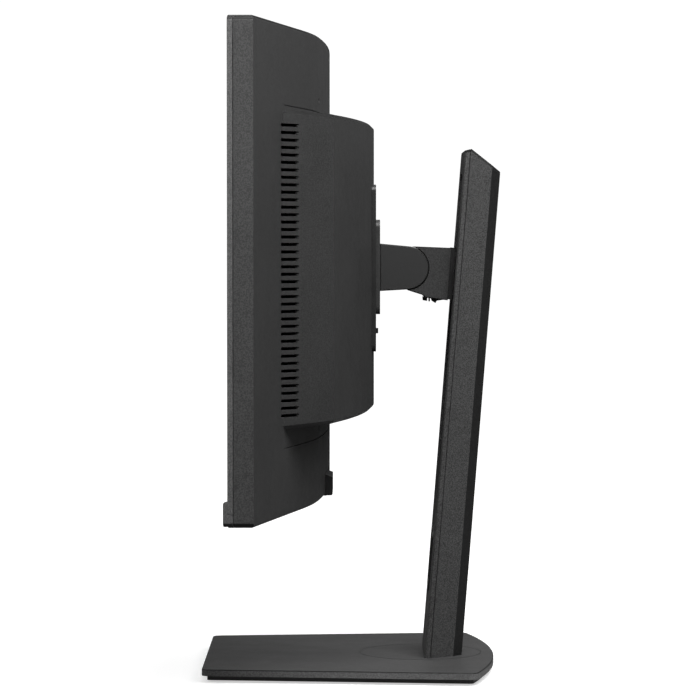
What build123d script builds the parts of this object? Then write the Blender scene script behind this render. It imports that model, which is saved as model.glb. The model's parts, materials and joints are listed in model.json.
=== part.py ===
from build123d import *
import os
from math import asin, atan2, cos, pi, radians, sin, sqrt, tan

# Curved ultrawide desktop monitor on a height, tilt and swivel stand.
# Millimetres. +Z up, the screen faces -Y, +X is the user's right. The origin is on the desk,
# under the middle of the whole object.

# ---- driving dimensions: display ----
display_width = 808.0
display_height = 364.0
screen_radius = 1500.0          # radius of the concave screen
display_thickness = 14.8        # screen to rear cover, at the middle
rear_crown_radius = 2000.0      # rear cover, middle stretch in plan
rear_crown_half = 165.0
rear_shoulder_radius = 600.0    # rear cover, stretch between the middle and the straight wings
rear_wing_angle = 11.6          # degrees
rear_edge_round = 2.4
display_corner_round = 4.0
cover_wall = 2.0
seam = 0.6                      # visible groove between two covers
tongue_inset = (1.2, 3.0)       # rib behind the groove: its outside and its inside

frame_depth = 3.7
frame_lip = 1.6
frame_ledge = 3.0
glass_depth = (0.2, 1.5)        # each layer: front and back, behind the screen surface
films_depth = (1.7, 2.5)
guide_depth = (2.7, 5.2)
reflector_depth = (5.3, 5.6)
chassis_depth = (5.8, 6.8)
chassis_rim = 1.0
stack_clearance = 0.2
led_bar_height = 3.0

trim = 2.0                      # length that the outline cuts off sheets that run to its edge
chin_height = 18.8
chin_proud = 3.0
chin_return = 10.1              # height of the part of the chin that wraps the frame's lower edge
chin_bottom_step = 0.9

# ---- driving dimensions: electronics box on the rear ----
box_height = 232.4
box_root_half = 312.0
box_back_half = 269.0
box_depth = 36.9                # rear cover to box back, at the middle
box_draft = 2.0                 # how far top and bottom flare towards the rear cover
box_back_sag = 32.0
box_wall = 2.2
box_bevel = 2.6
box_root_run = 16.0             # how far the slanted walls run on before the rear cover trims them
box_overlap = 5.0               # rim of the rear cover left under the box walls
vent_count = 40
vent_pitch = 5.5
vent_height = 2.35
vent_reach = 22.0               # cut depth each way from the root
vent_inner_half = 298.4
vent_outer_half = 318.0
seam_above = 5.2
seam_below = 16.3
seam_half = 307.0
seam_line = 0.7
cover_screw_x = 170.0
cover_screw_drop = 9.0
screw_head_radius = 2.6
screw_shank_radius = 1.4
screw_clearance = 0.15

pad_size = 136.2
pad_proud = 1.3
pad_corner = 5.0
vesa_spacing = 100.0
vesa_hole_radius = 2.05
bracket_half = 150.0
bracket_back_y = 4.0
sheet_steel = 1.0
hook_half = 5.0
hook_height = 3.0

# ---- driving dimensions: what the box holds ----
board_y = -14.6                 # front face of the main board
power_board_y = -22.5
board_thickness = 1.6
port_recess = box_wall + 0.1
port_clearance = 0.4
inlet_centre = (96.0, -6.0)
inlet_body = (30.0, 22.0, 24.0)
inlet_mouth = (24.6, 16.6)
jack_x = -5.0
jack_radius = 1.8
jack_body = (8.0, 9.0, 13.0)
speaker_x = (186.0, 256.0)
speaker_y = (-37.5, -17.5)
speaker_height = 40.0
speaker_slot_count = 12
speaker_slot_pitch = 5.0
speaker_slot = (2.0, 16.0)
lock_slot_x = (-212.0, -205.0)
lock_slot_z = (28.0, 31.2)      # above the box floor

# ---- driving dimensions: control pod and keys ----
pod_x = (46.0, 108.0)
pod_height = 17.7
pod_proud = 3.0
pod_depth = 10.8
pod_wall = 1.6
key_count = 4
key_pitch = 11.0
key_size = (7.0, 4.4)
key_proud = 0.7
key_travel = 0.6
key_clearance = 0.2
key_flange = 0.8
key_depth = 4.2                 # rear cover to the middle of the keys

# ---- driving dimensions: neck ----
tilt_axis_z = 332.9
neck_reach = 39.7               # column face to tilt axis
barrel_radius = 17.9
barrel_gap = 0.6
arm_length = 22.4               # tilt axis to the back of the quick-release plate
arm_root = (313.7, 353.0)
neck_half = 30.0
arm_cheek = 5.0
arm_skin = 3.0
tongue_half = 18.0
tongue_radius = 12.0
tongue_height = 14.0
shaft_radius = 5.0
running_clearance = 0.05
plate_size = (90.0, 77.8)
plate_thickness = 3.5
plate_drop = 0.8                # plate centre above the tilt axis
button_size = (18.0, 4.1)
button_proud = 2.3
button_drop = 52.7
button_travel = 2.5
button_clearance = 0.3

# ---- driving dimensions: column ----
column_lean = 4.5               # degrees
column_front_half = 44.0
column_side_strip = 4.4
column_shoulder = (30.0, 24.0)  # half width and depth where the rear bevel starts
column_rear = (20.0, 31.4)
column_height = 419.8           # along the front face
column_peak = 2.1
column_rear_drop = 14.3
column_wall = 2.2
column_front_bevel = 1.2
column_top_bevel = 2.2
travel_down = 105.0
travel_up = 45.0
slot_half = 20.5
slot_spare = (15.8, 20.2)
rail_half = 26.0
rail_depth = (6.4, 23.4)
rail_wall = 2.0
rail_lip = 1.6
shoe_clearance = 0.1
slider_depth = (9.5, 12.5)
slider_half_height = 30.0
steel_neck_half = 18.0
steel_neck_height = 36.0
carriage_gap = 3.9              # carriage cover to the column's face
carriage_wall = 3.0
carriage_chamfer = 0.7
carriage_span = (16.5, -26.9)   # top and bottom of its rear end, from the tilt axis
carriage_belly = ((15.2, -24.7), (12.8, -22.4), (5.3, -20.1), (-0.4, -18.2))
collar_height = 43.0
collar_gap = 0.5
clip_half = 6.0
cable_hole = (30.0, 48.4)
cable_hole_height = 79.4        # middle of the hole, along the front face
grommet_wall = 2.0
spool_radius = 5.8

# ---- driving dimensions: base ----
base_front_y = -122.1
base_rear_y = 117.5
base_front_half = 111.0
base_rear_half = 134.0
base_corner_y = 99.0
base_corner_rounds = (7.0, 8.0)
base_top_z = 10.6
base_cover_height = 5.5
base_skin = 2.2
rib_pitch = 34.0
rib_half = 0.8
base_edge_round = 0.9
base_inset = 4.5
base_plate_z = (1.4, 6.0)
swivel_y = 56.5
disc_radius = 50.6
disc_thickness = 3.5
disc_groove = 0.6
hub_radius = 32.0
retainer_radius = 40.0
column_offset = 2.5             # column face behind the swivel axis
foot_radius = 8.0

# ---- places that follow from them ----
base_bottom_z = base_top_z - base_cover_height
column_front_y = swivel_y + column_offset


def column_face_y(z):
    """The column's front face at a height."""
    return column_front_y + (z - base_top_z) * tan(radians(column_lean))


tilt_axis_y = column_face_y(tilt_axis_z) - neck_reach
plate_back_y = tilt_axis_y - arm_length
pad_back_y = plate_back_y - plate_thickness
box_back_y = pad_back_y - pad_proud
rear_y = box_back_y - box_depth
screen_y = rear_y - display_thickness
screen_axis_y = screen_y - screen_radius
half_width = display_width / 2
display_middle_z = tilt_axis_z - 0.3
display_bottom = display_middle_z - display_height / 2
display_top = display_bottom + display_height
box_bottom = tilt_axis_z + 0.7 - box_height / 2
box_top = box_bottom + box_height
box_inner_back_y = box_back_y - box_wall
column_frame = Plane(
    origin=(0, column_front_y, base_top_z),
    x_dir=(1, 0, 0),
    z_dir=(0, sin(radians(column_lean)), cos(radians(column_lean))),
)
carriage_height = (tilt_axis_z - 4.9 - base_top_z) / cos(radians(column_lean))


# ---- general shapes ----
def block(x, y, z):
    """A box from three (low, high) pairs."""
    size = (x[1] - x[0], y[1] - y[0], z[1] - z[0])
    return Pos((x[0] + x[1]) / 2, (y[0] + y[1]) / 2, (z[0] + z[1]) / 2) * Box(*size)


def side_prism(points, half, start=None):
    """A polygon of (y, z) points, extruded along X from start (or -half) to half."""
    low = -half if start is None else start
    face = make_face(Polyline(*points, close=True))
    return extrude(Plane.YZ.offset(low) * face, half - low)


def rod(axis, centre, radius, length):
    """A cylinder about a row axis through its centre."""
    turn = {"x": Rot(0, 90, 0), "y": Rot(90, 0, 0), "z": Rot(0, 0, 0)}[axis]
    return Pos(*centre) * turn * Cylinder(radius, length)


def ring(axis, centre, inner, outer, length):
    """A tube about a row axis through its centre."""
    return rod(axis, centre, outer, length) - rod(axis, centre, inner, length + 1)


def group(shapes):
    """Separate solids kept in one node."""
    return Compound(children=[solid for shape in shapes for solid in shape.solids()])


def mirrored(shape):
    """The same shape on the other side of the middle."""
    return mirror(shape, about=Plane.YZ)


# ---- the screen's curve and the rear cover's curve ----
def bow_y(depth, x):
    """Y of the surface a given depth behind the screen."""
    return screen_axis_y + sqrt((screen_radius + depth) ** 2 - x**2)


def bow_edge(depth, half):
    """Arc of that surface, from side to side."""
    y = bow_y(depth, half)
    return ThreePointArc((-half, y), (0, screen_axis_y + screen_radius + depth), (half, y))


def curved_sheet(depth, half, z):
    """A sheet that follows the screen: (front, back) depths, half width, (low, high) heights."""
    front = bow_edge(depth[0], half)
    back = bow_edge(depth[1], half)
    sides = [Line(front @ 0, back @ 0), Line(front @ 1, back @ 1)]
    face = make_face([front.edge(), back.edge()] + [side.edge() for side in sides])
    return extrude(Plane.XY.offset(z[0]) * face, z[1] - z[0])


def rear_edges(inset, half):
    """The rear cover's outline in plan, moved inwards by inset: five edges, left to right."""
    crown_angle = asin(rear_crown_half / rear_crown_radius)
    wing_angle = radians(rear_wing_angle)
    crown_y = rear_y - rear_crown_radius
    step = rear_crown_radius - rear_shoulder_radius
    shoulder = (step * sin(crown_angle), crown_y + step * cos(crown_angle))
    crown = rear_crown_radius - inset
    bend = rear_shoulder_radius - inset
    start = (crown * sin(crown_angle), crown_y + crown * cos(crown_angle))
    half_turn = (crown_angle + wing_angle) / 2
    middle = (shoulder[0] + bend * sin(half_turn), shoulder[1] + bend * cos(half_turn))
    end = (shoulder[0] + bend * sin(wing_angle), shoulder[1] + bend * cos(wing_angle))
    tip = (half, end[1] - (half - end[0]) * tan(wing_angle))

    def left(point):
        return (-point[0], point[1])

    return [
        Line(left(tip), left(end)),
        ThreePointArc(left(end), left(middle), left(start)),
        ThreePointArc(left(start), (0, rear_y - inset), start),
        ThreePointArc(start, middle, end),
        Line(end, tip),
    ]


def rear_hull(inset, half, z, depth):
    """Solid between a surface behind the screen and the rear cover's surface."""
    back = rear_edges(inset, half)
    front = bow_edge(depth, half)
    sides = [Line(front @ 0, back[0] @ 0), Line(front @ 1, back[-1] @ 1)]
    face = make_face([curve.edge() for curve in [front, *back, *sides]])
    return extrude(Plane.XY.offset(z[0]) * face, z[1] - z[0])


def wing_y(x):
    """Y of the rear cover on its straight wings."""
    tip = rear_edges(0, x)[-1] @ 1
    return tip.Y


def rear_surface_y(x):
    """Y of the rear cover on its middle stretch."""
    return rear_y - rear_crown_radius + sqrt(rear_crown_radius**2 - x**2)


def display_outline():
    """Block with the display's rounded corners, as seen from the front."""
    face = RectangleRounded(display_width, display_height, display_corner_round)
    return extrude(Plane.XZ * Pos(0, display_middle_z) * face, 400, both=True)


# ---- display: panel stack ----
def panel_stack():
    """Glass, films, light guide and chassis, each at its own depth behind the screen surface."""
    low = display_bottom + chin_bottom_step + frame_lip
    high = display_top - frame_lip
    glass_half = half_width - frame_lip - stack_clearance
    window_half = half_width - frame_lip - frame_ledge
    pan_half = window_half - stack_clearance
    frame_low = display_bottom + chin_return + seam / 2
    pan = (frame_low + frame_ledge + stack_clearance, high - frame_ledge - stack_clearance)
    sheet_half = pan_half - chassis_rim - stack_clearance
    sheet = (pan[0] + chassis_rim + stack_clearance, pan[1] - chassis_rim - stack_clearance)
    glass_low = low + chin_return
    chassis = curved_sheet((films_depth[0], chassis_depth[1]), pan_half, pan)
    hollow = (pan[0] + chassis_rim, pan[1] - chassis_rim)
    chassis -= curved_sheet((0, chassis_depth[0]), pan_half - chassis_rim, hollow)
    led = (sheet[0], sheet[0] + led_bar_height)
    guide = (led[1] + stack_clearance, sheet[1])
    return {
        "lcd_panel": curved_sheet(glass_depth, glass_half, (glass_low, high - stack_clearance)),
        "optical_films": curved_sheet(films_depth, sheet_half, sheet),
        "led_bar": curved_sheet(guide_depth, sheet_half, led),
        "light_guide": curved_sheet(guide_depth, sheet_half, guide),
        "reflector_sheet": curved_sheet(reflector_depth, sheet_half, sheet),
        "panel_chassis": chassis,
    }


def front_frame():
    """Side and top strips, with the ledge that the glass sits on."""
    low = display_bottom + chin_return + seam / 2
    top = display_top
    strip = curved_sheet((0, frame_depth), half_width + trim, (low, top + trim)) & display_outline()
    pocket = curved_sheet((-1, films_depth[0] - 0.1), half_width - frame_lip, (low - 1, top - frame_lip))
    edge = frame_lip + frame_ledge
    window = curved_sheet((-1, frame_depth + 1), half_width - edge, (low + frame_ledge, top - edge))
    return strip - pocket - window


def bottom_bezel():
    """The chin: a bar proud of the screen, and a return that wraps the frame's lower corners."""
    low = display_bottom + chin_bottom_step
    wide = half_width + trim
    bar = curved_sheet((-chin_proud, 0.5), wide, (low, display_bottom + chin_height))
    bar = chamfer(bar.edges().group_by(Axis.Z)[-1].filter_by(GeomType.CIRCLE).sort_by(Axis.Y)[:1], 1.2)
    bar -= curved_sheet((0, 2), wide + 1, (display_bottom + chin_return, display_bottom + chin_height + 1))
    return_bar = curved_sheet((0, frame_depth), wide, (display_bottom - trim, display_bottom + chin_return))
    return (bar + return_bar) & display_outline()


# ---- display: rear cover and its box ----
def box_outline(inset):
    """The box in plan: slanted walls that run on into the rear cover, and a bowed back."""
    back_y = box_back_y - box_back_sag
    slope = (box_root_half - box_back_half) / (back_y - wing_y(box_root_half))
    root_y = wing_y(box_root_half) - box_root_run
    root = (box_root_half + slope * box_root_run, root_y)
    back = ThreePointArc((-box_back_half, back_y), (0, box_back_y), (box_back_half, back_y))
    sides = [
        Line((-root[0], root[1]), (-box_back_half, back_y)),
        Line((box_back_half, back_y), root),
        Line(root, (-root[0], root[1])),
    ]
    face = make_face([back.edge()] + [side.edge() for side in sides])
    return offset(face, -inset, kind=Kind.INTERSECTION) if inset else face


def box_profile(inset):
    """The box from the side, as (y, z) points: level at the back, flared towards the rear cover."""
    back_edge = box_back_y - box_back_sag
    root = wing_y(box_root_half)
    far = root - 2 * box_root_run
    flare = box_draft * (back_edge - far) / (back_edge - root)
    low, high = box_bottom + inset, box_top - inset
    behind = box_back_y + 1
    return [
        (far, low - flare), (back_edge, low), (behind, low),
        (behind, high), (back_edge, high), (far, high + flare),
    ]


def box_body(inset):
    """The box's form, moved inwards by inset."""
    spare = 4 * box_draft
    tall = extrude(Plane.XY.offset(box_bottom - spare) * box_outline(inset), box_height + 2 * spare)
    return tall & side_prism(box_profile(inset), box_root_half + 2 * box_root_run)


def is_box_rim(edge):
    """True for an edge that borders the box's top or bottom along a slanted wall or the back."""
    start, end = edge @ 0, edge @ 1
    across = edge.geom_type == GeomType.LINE and abs(start.Y - end.Y) < 0.01
    near_end = abs(edge.center().Z - (box_bottom + box_top) / 2) > box_height / 2 - box_draft
    return near_end and not across


def vent_slots():
    """Cutters for the slots at the root of both side walls."""
    cutters = []
    middle_y = wing_y(box_root_half)
    first = tilt_axis_z - vent_pitch * (vent_count - 1) / 2
    shape = SlotOverall(vent_outer_half - vent_inner_half, vent_height)
    middle_x = (vent_outer_half + vent_inner_half) / 2
    for index in range(vent_count):
        place = Plane.XZ * Pos(middle_x, first + index * vent_pitch)
        cutter = extrude(place * shape, vent_reach, both=True)
        cutters.append(Pos(0, middle_y, 0) * cutter)
    return cutters + [mirrored(cutter) for cutter in cutters]


def port_list():
    """Sockets along the box's underside: name, X centre, opening, body."""
    return [
        ("hdmi", (-30.0, -50.0), (14.6, 4.8), (16.0, 6.2, 12.0)),
        ("displayport", (-72.0, -95.0), (16.4, 5.2), (18.0, 6.8, 12.5)),
        ("usb", (15.0, 35.0), (13.0, 5.6), (14.6, 7.2, 16.0)),
    ]


def host_port():
    """The square socket for the computer's lead."""
    return [("usb_host", (-117.0,), (12.4, 11.2), (14.0, 12.8, 15.0))]


def sockets(ports):
    """One socket at each listed place."""
    return [socket(x, mouth, body) for _, places, mouth, body in ports for x in places]


def socket(x, mouth, body):
    """A metal-cased socket that opens downwards, with its contact tongue."""
    z = (box_bottom + port_recess, box_bottom + port_recess + body[2])
    y = (board_y + board_thickness, board_y + board_thickness + body[1])
    middle = (y[0] + y[1]) / 2
    case = block((x - body[0] / 2, x + body[0] / 2), y, z)
    hollow = centred(x, middle, mouth, 0, (z[0] - 1, z[1] - 2))
    tongue = centred(x, middle, (mouth[0] - 4, 1.2), 0, (z[0] + 1, z[1] - 1))
    return case - hollow + tongue


def port_cutters():
    """Holes in the box's underside for the sockets."""
    cutters = []
    z = (box_bottom - 1, box_bottom + box_wall + 1)
    for _, places, mouth, body in port_list() + host_port():
        middle = board_y + board_thickness + body[1] / 2
        for x in places:
            cutters.append(centred(x, middle, mouth, port_clearance, z))
    cutters.append(centred(*inlet_centre, inlet_body, port_clearance, z))
    jack_y = board_y + board_thickness + jack_body[1] / 2
    cutters.append(rod("z", (jack_x, jack_y, box_bottom), jack_radius + 3 * port_clearance, 8))
    return cutters


def centred(x, y, size, margin, z):
    """A block about (x, y), grown by a margin all round."""
    half = (size[0] / 2 + margin, size[1] / 2 + margin)
    return block((x - half[0], x + half[0]), (y - half[1], y + half[1]), z)


def box_cover():
    """Outer shell of the electronics box, with vents, sockets and mounting holes cut through."""
    outer = box_body(0)
    outer = chamfer([edge for edge in outer.edges() if is_box_rim(edge)], box_bevel)
    hull = rear_hull(0, half_width, (box_bottom - 3 * box_draft, box_top + 3 * box_draft), -60)
    shell = outer - hull - box_body(box_wall)
    shell -= vent_slots()
    shell -= port_cutters()
    shell -= speaker_slots()
    shell -= pad_holes()
    lock = block(lock_slot_x, (-60, 40), (box_bottom + lock_slot_z[0], box_bottom + lock_slot_z[1]))
    stop = block((-6, 6), (box_inner_back_y - 6.5, box_inner_back_y + 0.5), spring_stop())
    return shell - lock + stop


def speaker_slots():
    """Cutters for the slots under both speakers."""
    cutters = []
    middle_x = sum(speaker_x) / 2
    middle_y = sum(speaker_y) / 2
    first = middle_x - speaker_slot_pitch * (speaker_slot_count - 1) / 2
    for side in (-1, 1):
        for index in range(speaker_slot_count):
            x = side * (first + index * speaker_slot_pitch)
            cutters.append(centred(x, middle_y, speaker_slot, 0, (box_bottom - 3, box_bottom + box_wall + 1)))
    return cutters


def spring_stop():
    """Heights of the rib above the release button's spring."""
    low = tilt_axis_z - button_drop + 26
    return (low, low + 2)


def pad_holes():
    """Holes that pass through both the pad and the box's back."""
    cutters = []
    for x in (-1, 1):
        for z in (-1, 1):
            centre = (x * vesa_spacing / 2, 8, tilt_axis_z + z * vesa_spacing / 2)
            cutters.append(rod("y", centre, vesa_hole_radius, 60))
    half = button_size[0] / 2 + button_clearance
    low = tilt_axis_z - button_drop - button_size[1] / 2
    high = low + button_size[1] + button_travel + button_clearance
    cutters.append(block((-half, half), (-6, 40), (low - button_clearance, high)))
    for x, z in hook_places():
        wide = hook_half + button_clearance
        height = (z - hook_height / 2 - button_clearance, z + 3 * hook_height / 2 + button_clearance)
        cutters.append(block((x - wide, x + wide), (-6, 40), height))
    return cutters


def hook_places():
    """Centres of the plate's four hooks, (x, z)."""
    middle = tilt_axis_z + plate_drop
    reach = plate_size[1] / 2 - 8
    return [(x, middle + z) for x in (-26, 26) for z in (-reach, reach)]


def mount_pad():
    """The flat pad on the box's back that the stand's plate seats on."""
    face = Pos(0, tilt_axis_z) * RectangleRounded(pad_size, pad_size, pad_corner)
    solid = extrude(Plane.XZ * face, -pad_back_y)
    solid = solid & block((-200, 200), (box_back_y - 10, pad_back_y), (0, 999))
    return solid - box_body(0) - pad_holes()


def rear_cover():
    """Rear shell, open towards the panel, with the opening that the box covers."""
    whole = (display_bottom, display_top)
    outer = rear_hull(0, half_width, whole, frame_depth + seam)
    ends = [edge for edge in outer.edges().group_by(Axis.Z)[0] + outer.edges().group_by(Axis.Z)[-1]]
    depth_limit = bow_y(frame_depth + seam, half_width) + 2
    outline = [edge for edge in ends if edge.center().Y > depth_limit and not is_front(edge)]
    outer = fillet(outline, rear_edge_round) & display_outline()
    inner_z = (display_bottom + cover_wall, display_top - cover_wall)
    shell = outer - rear_hull(cover_wall, half_width - cover_wall, inner_z, frame_depth - 1)
    outside = (whole[0] + tongue_inset[0], whole[1] - tongue_inset[0])
    inside = (whole[0] + tongue_inset[1], whole[1] - tongue_inset[1])
    tongue = curved_sheet((frame_depth, frame_depth + seam + 0.2), half_width - tongue_inset[0], outside)
    tongue -= curved_sheet((frame_depth - 1, frame_depth + 2), half_width - tongue_inset[1], inside)
    shell += tongue
    opening = block(
        (-box_root_half + box_overlap, box_root_half - box_overlap),
        (-90, 30),
        (box_bottom + box_overlap, box_top - box_overlap),
    )
    shell -= opening
    shell -= vent_slots()
    shell -= pod_space(0.2)
    for z in (box_top + seam_above, box_bottom - seam_below):
        line = block((-seam_half, seam_half), (-100, 0), (z - seam_line / 2, z + seam_line / 2))
        shell -= line - rear_hull(1.0, half_width, (z - 2, z + 2), 0)
    for x, z in cover_screw_places():
        y = rear_surface_y(x)
        shell += rod("y", (x, y - 4.5, z), screw_head_radius + 1.8, 6)
        shell -= rod("y", (x, y, z), screw_head_radius + screw_clearance, 4)
        shell -= rod("y", (x, y, z), screw_shank_radius, 30)
    return shell


def is_front(edge):
    """True for an edge of the cover's open front."""
    middle = edge.center()
    return abs(middle.Y - bow_y(frame_depth + seam, abs(middle.X))) < 4 and abs(middle.X) < 1


def cover_screw_places():
    """The rear cover's four screws, (x, z)."""
    low = box_bottom - cover_screw_drop
    high = box_top + seam_above + cover_screw_drop
    return [(x, z) for x in (-cover_screw_x, cover_screw_x) for z in (low, high)]


def display_screws():
    """The rear cover's four screws and the four that hold the arm to its plate."""
    screws = plate_screws()
    for x, z in cover_screw_places():
        y = rear_surface_y(x) - 2
        head = rod("y", (x, y + 0.7, z), screw_head_radius, 1.4)
        slot = block((x - 0.4, x + 0.4), (y + 0.9, y + 2), (z - 1.6, z + 1.6))
        cross = block((x - 1.6, x + 1.6), (y + 0.9, y + 2), (z - 0.4, z + 0.4))
        screws.append(head - slot - cross + rod("y", (x, y - 2.7, z), screw_shank_radius, 5.4))
    return group(screws)


# ---- display: control pod, keys and their board ----
def pod_space(margin):
    """The pocket in the rear cover that the pod fills."""
    y = (rear_y + pod_proud - pod_depth - margin, 0)
    z = (display_bottom - 1, display_bottom + pod_height + margin)
    return block((pod_x[0] - margin, pod_x[1] + margin), y, z)


def key_places():
    """X of each key: four menu keys, then the power key."""
    middle = (pod_x[0] + pod_x[1]) / 2
    return [middle + (index - key_count / 2) * key_pitch for index in range(key_count + 1)]


def key_y():
    """Y of the keys' middles."""
    return rear_y - key_depth


def control_pod():
    """The small housing on the rear cover's lower edge that holds the keys."""
    back = rear_y + pod_proud
    front = back - pod_depth
    top = display_bottom + pod_height
    outline = [
        (front, display_bottom), (back - 1, display_bottom), (back, display_bottom + 1),
        (back, top - 3), (back - 8, top), (front, top),
    ]
    inner = [
        (front - 1, display_bottom + pod_wall), (back - pod_wall, display_bottom + pod_wall),
        (back - pod_wall, top - 4.4), (back - 8.4, top - pod_wall), (front - 1, top - pod_wall),
    ]
    pod = side_prism(outline, pod_x[1], pod_x[0])
    pod -= side_prism(inner, pod_x[1] - pod_wall, pod_x[0] + pod_wall)
    for x in key_places():
        pod -= centred(x, key_y(), key_size, key_clearance, (display_bottom - 1, display_bottom + 3))
    return pod


def key(x):
    """A push key under the pod: cap, and the flange that keeps it in."""
    floor = display_bottom + pod_wall
    cap = centred(x, key_y(), key_size, 0, (display_bottom - key_proud, floor + 0.2))
    return cap + centred(x, key_y(), key_size, 0.7, (floor + 0.05, floor + key_flange))


def control_board():
    """Circuit board with a push switch over each key."""
    floor = display_bottom + pod_wall + key_flange + key_travel + 0.1
    ends = (pod_x[0] + pod_wall + 0.6, pod_x[1] - pod_wall - 0.6)
    board = block(ends, (key_y() - 3.2, key_y() + 3.6), (floor + 2.6, floor + 4.0))
    for x in key_places():
        board += block((x - 2.2, x + 2.2), (key_y() - 2, key_y() + 2), (floor + 0.6, floor + 2.7))
        board += rod("z", (x, key_y(), floor + 0.4), 1.0, 0.8)
    return board


# ---- display: electronics ----
def board_bracket():
    """Folded steel bracket over the boards, open below, resting on the panel chassis."""
    low = box_bottom + inlet_body[2] + 3
    high = box_top - 12
    outer = block((-bracket_half, bracket_half), (-60, bracket_back_y), (low, high))
    inner_half = bracket_half - sheet_steel
    inner_y = (-61, bracket_back_y - sheet_steel)
    inner = block((-inner_half, inner_half), inner_y, (low - 1, high - sheet_steel))
    shell = outer - inner
    for x in (-90, 0, 90):
        for z in (0.25, 0.75):
            shell -= rod("y", (x, 0, low + (high - low) * z), 12, 20)
    return shell - curved_sheet((-60, chassis_depth[1] + 0.1), bracket_half + 20, (low - 5, high + 5))


def vesa_bracket():
    """Steel plate with four threaded pillars behind the mounting holes."""
    half = vesa_spacing / 2 + 12
    back = box_back_y - box_wall - 1.6
    height = (tilt_axis_z - half, tilt_axis_z + half)
    plate = block((-half, half), (bracket_back_y, bracket_back_y + 1.6), height)
    plate -= block((-30, 30), (-50, 50), (tilt_axis_z - half + 14, tilt_axis_z + half - 14))
    for x in (-1, 1):
        for z in (-1, 1):
            place = (x * vesa_spacing / 2, (bracket_back_y + back) / 2, tilt_axis_z + z * vesa_spacing / 2)
            plate += rod("y", place, 5.5, back - bracket_back_y)
            plate -= rod("y", (place[0], back, place[2]), vesa_hole_radius, 2 * (back - bracket_back_y) - 2)
    return plate


def main_board():
    """Circuit board with its soldered packages and capacitors."""
    rear = board_y + board_thickness
    board = block((-142, 44), (board_y, rear), (box_bottom + 6, box_bottom + 130))
    parts = [
        block((-100, -72), (rear, rear + 2.4), (box_bottom + 70, box_bottom + 98)),
        block((-40, -26), (rear, rear + 1.4), (box_bottom + 60, box_bottom + 74)),
        block((-15, 0), (rear, rear + 1.4), (box_bottom + 90, box_bottom + 100)),
        block((10, 40), (rear, rear + 5.0), (box_bottom + 108, box_bottom + 118)),
    ]
    for index in range(4):
        parts.append(rod("y", (14 + index * 8, rear + 3.5, box_bottom + 48), 3.0, 7.0))
    return board + parts


def heat_sink():
    """Finned heat sink on the largest package."""
    rear = board_y + board_thickness + 2.4
    sink = block((-102, -70), (rear, rear + 1.6), (box_bottom + 68, box_bottom + 100))
    for index in range(8):
        x = -101 + index * 4.2
        sink += block((x, x + 1.2), (rear + 1.5, rear + 10), (box_bottom + 68, box_bottom + 100))
    return sink


def power_board():
    """Circuit board with its soldered transformer, chokes, filter and capacitors."""
    rear = power_board_y + board_thickness
    board = block((56, 142), (power_board_y, rear), (box_bottom + 34, box_bottom + 196))
    parts = [
        block((64, 98), (rear, rear + 21), (box_bottom + 92, box_bottom + 122)),
        block((108, 136), (rear, rear + 16), (box_bottom + 96, box_bottom + 118)),
        block((64, 90), (rear, rear + 14), (box_bottom + 42, box_bottom + 60)),
    ]
    capacitors = [(120, 60, 8.5), (74, 76, 5.0), (88, 76, 5.0)] + [(x, 150, 6.0) for x in (70, 86, 102)]
    for x, z, radius in capacitors:
        parts.append(rod("y", (x, rear + 11, box_bottom + z), radius, 22))
    return board + parts


def power_inlet():
    """Three-pin power inlet that opens downwards."""
    z = (box_bottom + 0.3, box_bottom + 0.3 + inlet_body[2])
    inlet_x, y = inlet_centre
    body = centred(inlet_x, y, inlet_body, 0, z)
    body -= centred(inlet_x, y, inlet_mouth, 0, (z[0] - 1, z[1] - 4))
    for x, shift in ((-7, -1.5), (0, 2.5), (7, -1.5)):
        pin = block((inlet_x + x - 2, inlet_x + x + 2), (y + shift - 1, y + shift + 1), (z[0] + 2, z[1] - 3))
        body += pin
    return body


def audio_jack():
    """Headphone socket that opens downwards."""
    z = (box_bottom + port_recess, box_bottom + port_recess + jack_body[2])
    y = board_y + board_thickness + jack_body[1] / 2
    body = centred(jack_x, y, jack_body, 0, z)
    return body - rod("z", (jack_x, y, z[0]), jack_radius, 22)


def speaker(side):
    """One speaker box with its cone facing down."""
    x = sorted((side * speaker_x[0], side * speaker_x[1]))
    z = (box_bottom + box_overlap + 0.5, box_bottom + speaker_height)
    body = block(x, speaker_y, z)
    middle = (sum(x) / 2, sum(speaker_y) / 2)
    return body - rod("z", (*middle, z[0]), 8, 3) + rod("z", (*middle, z[0] + 1), 6.5, 1.4)


def timing_board():
    """Narrow board behind the panel's lower edge."""
    y = bow_y(chassis_depth[1], 0) + 1.0
    board = block((-88, 88), (y, y + 1.2), (display_bottom + 34, display_bottom + 56))
    return board + block((-14, 14), (y + 1.1, y + 2.4), (display_bottom + 46, display_bottom + 51))


def panel_ribbon():
    """Flat cable from the main board down to the timing board."""
    y = bow_y(chassis_depth[1], 0) + 2.2
    front = [(board_y - 0.5, box_bottom + 44), (board_y - 1.5, box_bottom + 30), (y + 0.9, box_bottom + 7),
             (y + 0.5, display_bottom + 57), (y + 0.3, display_bottom + 52)]
    back = [(point[0] + 0.4, point[1] + 0.1) for point in reversed(front)]
    return side_prism(front + back, -40 + 28, -40)


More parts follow.
